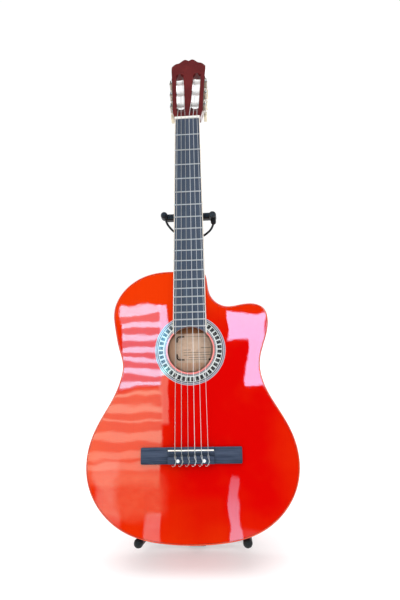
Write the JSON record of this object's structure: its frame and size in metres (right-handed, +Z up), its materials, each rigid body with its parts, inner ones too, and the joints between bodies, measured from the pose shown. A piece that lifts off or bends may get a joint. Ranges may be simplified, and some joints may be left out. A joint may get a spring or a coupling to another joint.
{
  "type": "guitar on stand",
  "caption": "Classical cutaway guitar with glossy red body and slotted headstock, leaning in a black folding tube stand with a padded neck yoke and two cradle arms.",
  "frame": {"origin": "centre of the object's box, on the floor", "axes": "+Z up, the guitar's front faces -Y, +X to the viewer's right"},
  "size_m": [0.3724, 0.4151, 1.0019],
  "materials": {
    "red_lacquer": "high gloss lacquer",
    "burgundy_lacquer": "gloss lacquer",
    "bare_wood": "raw",
    "dark_board": "satin",
    "cream_plastic": "gloss",
    "ivory_plastic": "polished",
    "white_plastic": "moulded",
    "pearl_plastic": "pearl",
    "rosette": "inlay under lacquer",
    "paper": "matt paper",
    "nickel": "polished",
    "wound_string": "wound",
    "nylon_string": "clear",
    "black_tube": "satin powder coat",
    "black_plastic": "moulded",
    "black_rubber": "matt",
    "slate_rubber": "satin",
    "black_foam": "foam",
    "steel": "plated"
  },
  "bodies": {
    "stand": {"mast_lower": "black_tube", "clamp_collar": "black_plastic", "foot_bracket": "black_plastic", "foot_tube": "black_tube", "foot_caps": "black_rubber", "cradle_cross": "black_tube", "cradle_arm_left": "black_tube", "cradle_arm_right": "black_tube", "cradle_foam": "black_foam", "cradle_caps": "black_rubber", "hinge_bracket": "black_plastic", "hinge_bolt": "steel"},
    "mast_top": {"mast_upper": "black_tube", "yoke_frame": "black_tube", "yoke_pad": "slate_rubber", "strap_post": "black_plastic", "neck_strap": "black_rubber"},
    "knob": {"clamp_knob": "black_plastic"},
    "rear_frame": {"rear_knuckle": "black_plastic", "rear_leg_left": "black_tube", "rear_leg_right": "black_tube", "rear_brace": "black_tube", "rear_feet": "black_rubber"},
    "guitar": {"soundboard": "red_lacquer", "rosette": "rosette", "back_plate": "red_lacquer", "binding": "cream_plastic", "rib_bass": "red_lacquer", "rib_treble": "red_lacquer", "tail_block": "bare_wood", "neck_block": "bare_wood", "linings": "bare_wood", "braces": "bare_wood", "label": "paper", "fingerboard": "dark_board", "board_edging": "cream_plastic", "frets": "nickel", "neck": "burgundy_lacquer", "headstock": "burgundy_lacquer", "nut": "ivory_plastic", "tuner_plates": "nickel", "tuner_screws": "nickel", "bridge": "dark_board", "tie_dots": "ivory_plastic", "saddle": "ivory_plastic", "strings_wound": "wound_string", "strings_plain": "nylon_string"},
    "button_body_1": {"button_1": "pearl_plastic"},
    "roller_body_1": {"roller_1": "white_plastic"},
    "button_body_2": {"button_2": "pearl_plastic"},
    "roller_body_2": {"roller_2": "white_plastic"},
    "button_body_3": {"button_3": "pearl_plastic"},
    "roller_body_3": {"roller_3": "white_plastic"},
    "button_body_4": {"button_4": "pearl_plastic"},
    "roller_body_4": {"roller_4": "white_plastic"},
    "button_body_5": {"button_5": "pearl_plastic"},
    "roller_body_5": {"roller_5": "white_plastic"},
    "button_body_6": {"button_6": "pearl_plastic"},
    "roller_body_6": {"roller_6": "white_plastic"}
  },
  "joints": [
    {"name": "guitar_lift", "type": "slide", "parent": "stand", "child": "guitar", "axis": [0, 0, 1], "range_m": [0, 0.045]},
    {"name": "mast_slide", "type": "slide", "parent": "stand", "child": "mast_top", "axis": [0, 0.2419, 0.9703], "range_m": [0, 0.12]},
    {"name": "clamp_knob_turn", "type": "hinge", "parent": "stand", "child": "knob", "pos_m": [0, 0.02048, 0.3296], "axis": [0, -0.9703, 0.2419], "continuous": true},
    {"name": "rear_fold", "type": "hinge", "parent": "stand", "child": "rear_frame", "pos_m": [0, -0.00349, 0.27065], "axis": [-1, 0, 0], "range_deg": [0, 44]},
    {"name": "button_1_turn", "type": "hinge", "parent": "guitar", "child": "button_body_1", "pos_m": [0.03545, 0.01824, 0.86949], "axis": [0, -0.8829, 0.4695], "continuous": true},
    {"name": "roller_1_turn", "type": "hinge", "parent": "guitar", "child": "roller_body_1", "pos_m": [0.03587, 0.02272, 0.87792], "axis": [0.9991, -0.0204, -0.0384], "continuous": true},
    {"name": "button_2_turn", "type": "hinge", "parent": "guitar", "child": "button_body_2", "pos_m": [0.03697, 0.03466, 0.90036], "axis": [0, -0.8829, 0.4695], "continuous": true},
    {"name": "roller_2_turn", "type": "hinge", "parent": "guitar", "child": "roller_body_2", "pos_m": [0.03739, 0.03914, 0.90879], "axis": [0.9991, -0.0204, -0.0384], "continuous": true},
    {"name": "button_3_turn", "type": "hinge", "parent": "guitar", "child": "button_body_3", "pos_m": [0.03847, 0.05084, 0.9308], "axis": [0, -0.8829, 0.4695], "continuous": true},
    {"name": "roller_3_turn", "type": "hinge", "parent": "guitar", "child": "roller_body_3", "pos_m": [0.03889, 0.05532, 0.93922], "axis": [0.9991, -0.0204, -0.0384], "continuous": true},
    {"name": "button_4_turn", "type": "hinge", "parent": "guitar", "child": "button_body_4", "pos_m": [-0.03847, 0.05084, 0.9308], "axis": [0, -0.8829, 0.4695], "continuous": true},
    {"name": "roller_4_turn", "type": "hinge", "parent": "guitar", "child": "roller_body_4", "pos_m": [-0.03889, 0.05532, 0.93922], "axis": [0.9991, 0.0204, 0.0384], "continuous": true},
    {"name": "button_5_turn", "type": "hinge", "parent": "guitar", "child": "button_body_5", "pos_m": [-0.03697, 0.03466, 0.90036], "axis": [0, -0.8829, 0.4695], "continuous": true},
    {"name": "roller_5_turn", "type": "hinge", "parent": "guitar", "child": "roller_body_5", "pos_m": [-0.03739, 0.03914, 0.90879], "axis": [0.9991, 0.0204, 0.0384], "continuous": true},
    {"name": "button_6_turn", "type": "hinge", "parent": "guitar", "child": "button_body_6", "pos_m": [-0.03545, 0.01824, 0.86949], "axis": [0, -0.8829, 0.4695], "continuous": true},
    {"name": "roller_6_turn", "type": "hinge", "parent": "guitar", "child": "roller_body_6", "pos_m": [-0.03587, 0.02272, 0.87792], "axis": [0.9991, 0.0204, 0.0384], "continuous": true}
  ],
  "couplings": [
    {"joint": "roller_1_turn", "follows": "button_1_turn", "ratio": 0.071429},
    {"joint": "roller_2_turn", "follows": "button_2_turn", "ratio": 0.071429},
    {"joint": "roller_3_turn", "follows": "button_3_turn", "ratio": 0.071429},
    {"joint": "roller_4_turn", "follows": "button_4_turn", "ratio": 0.071429},
    {"joint": "roller_5_turn", "follows": "button_5_turn", "ratio": 0.071429},
    {"joint": "roller_6_turn", "follows": "button_6_turn", "ratio": 0.071429}
  ]
}
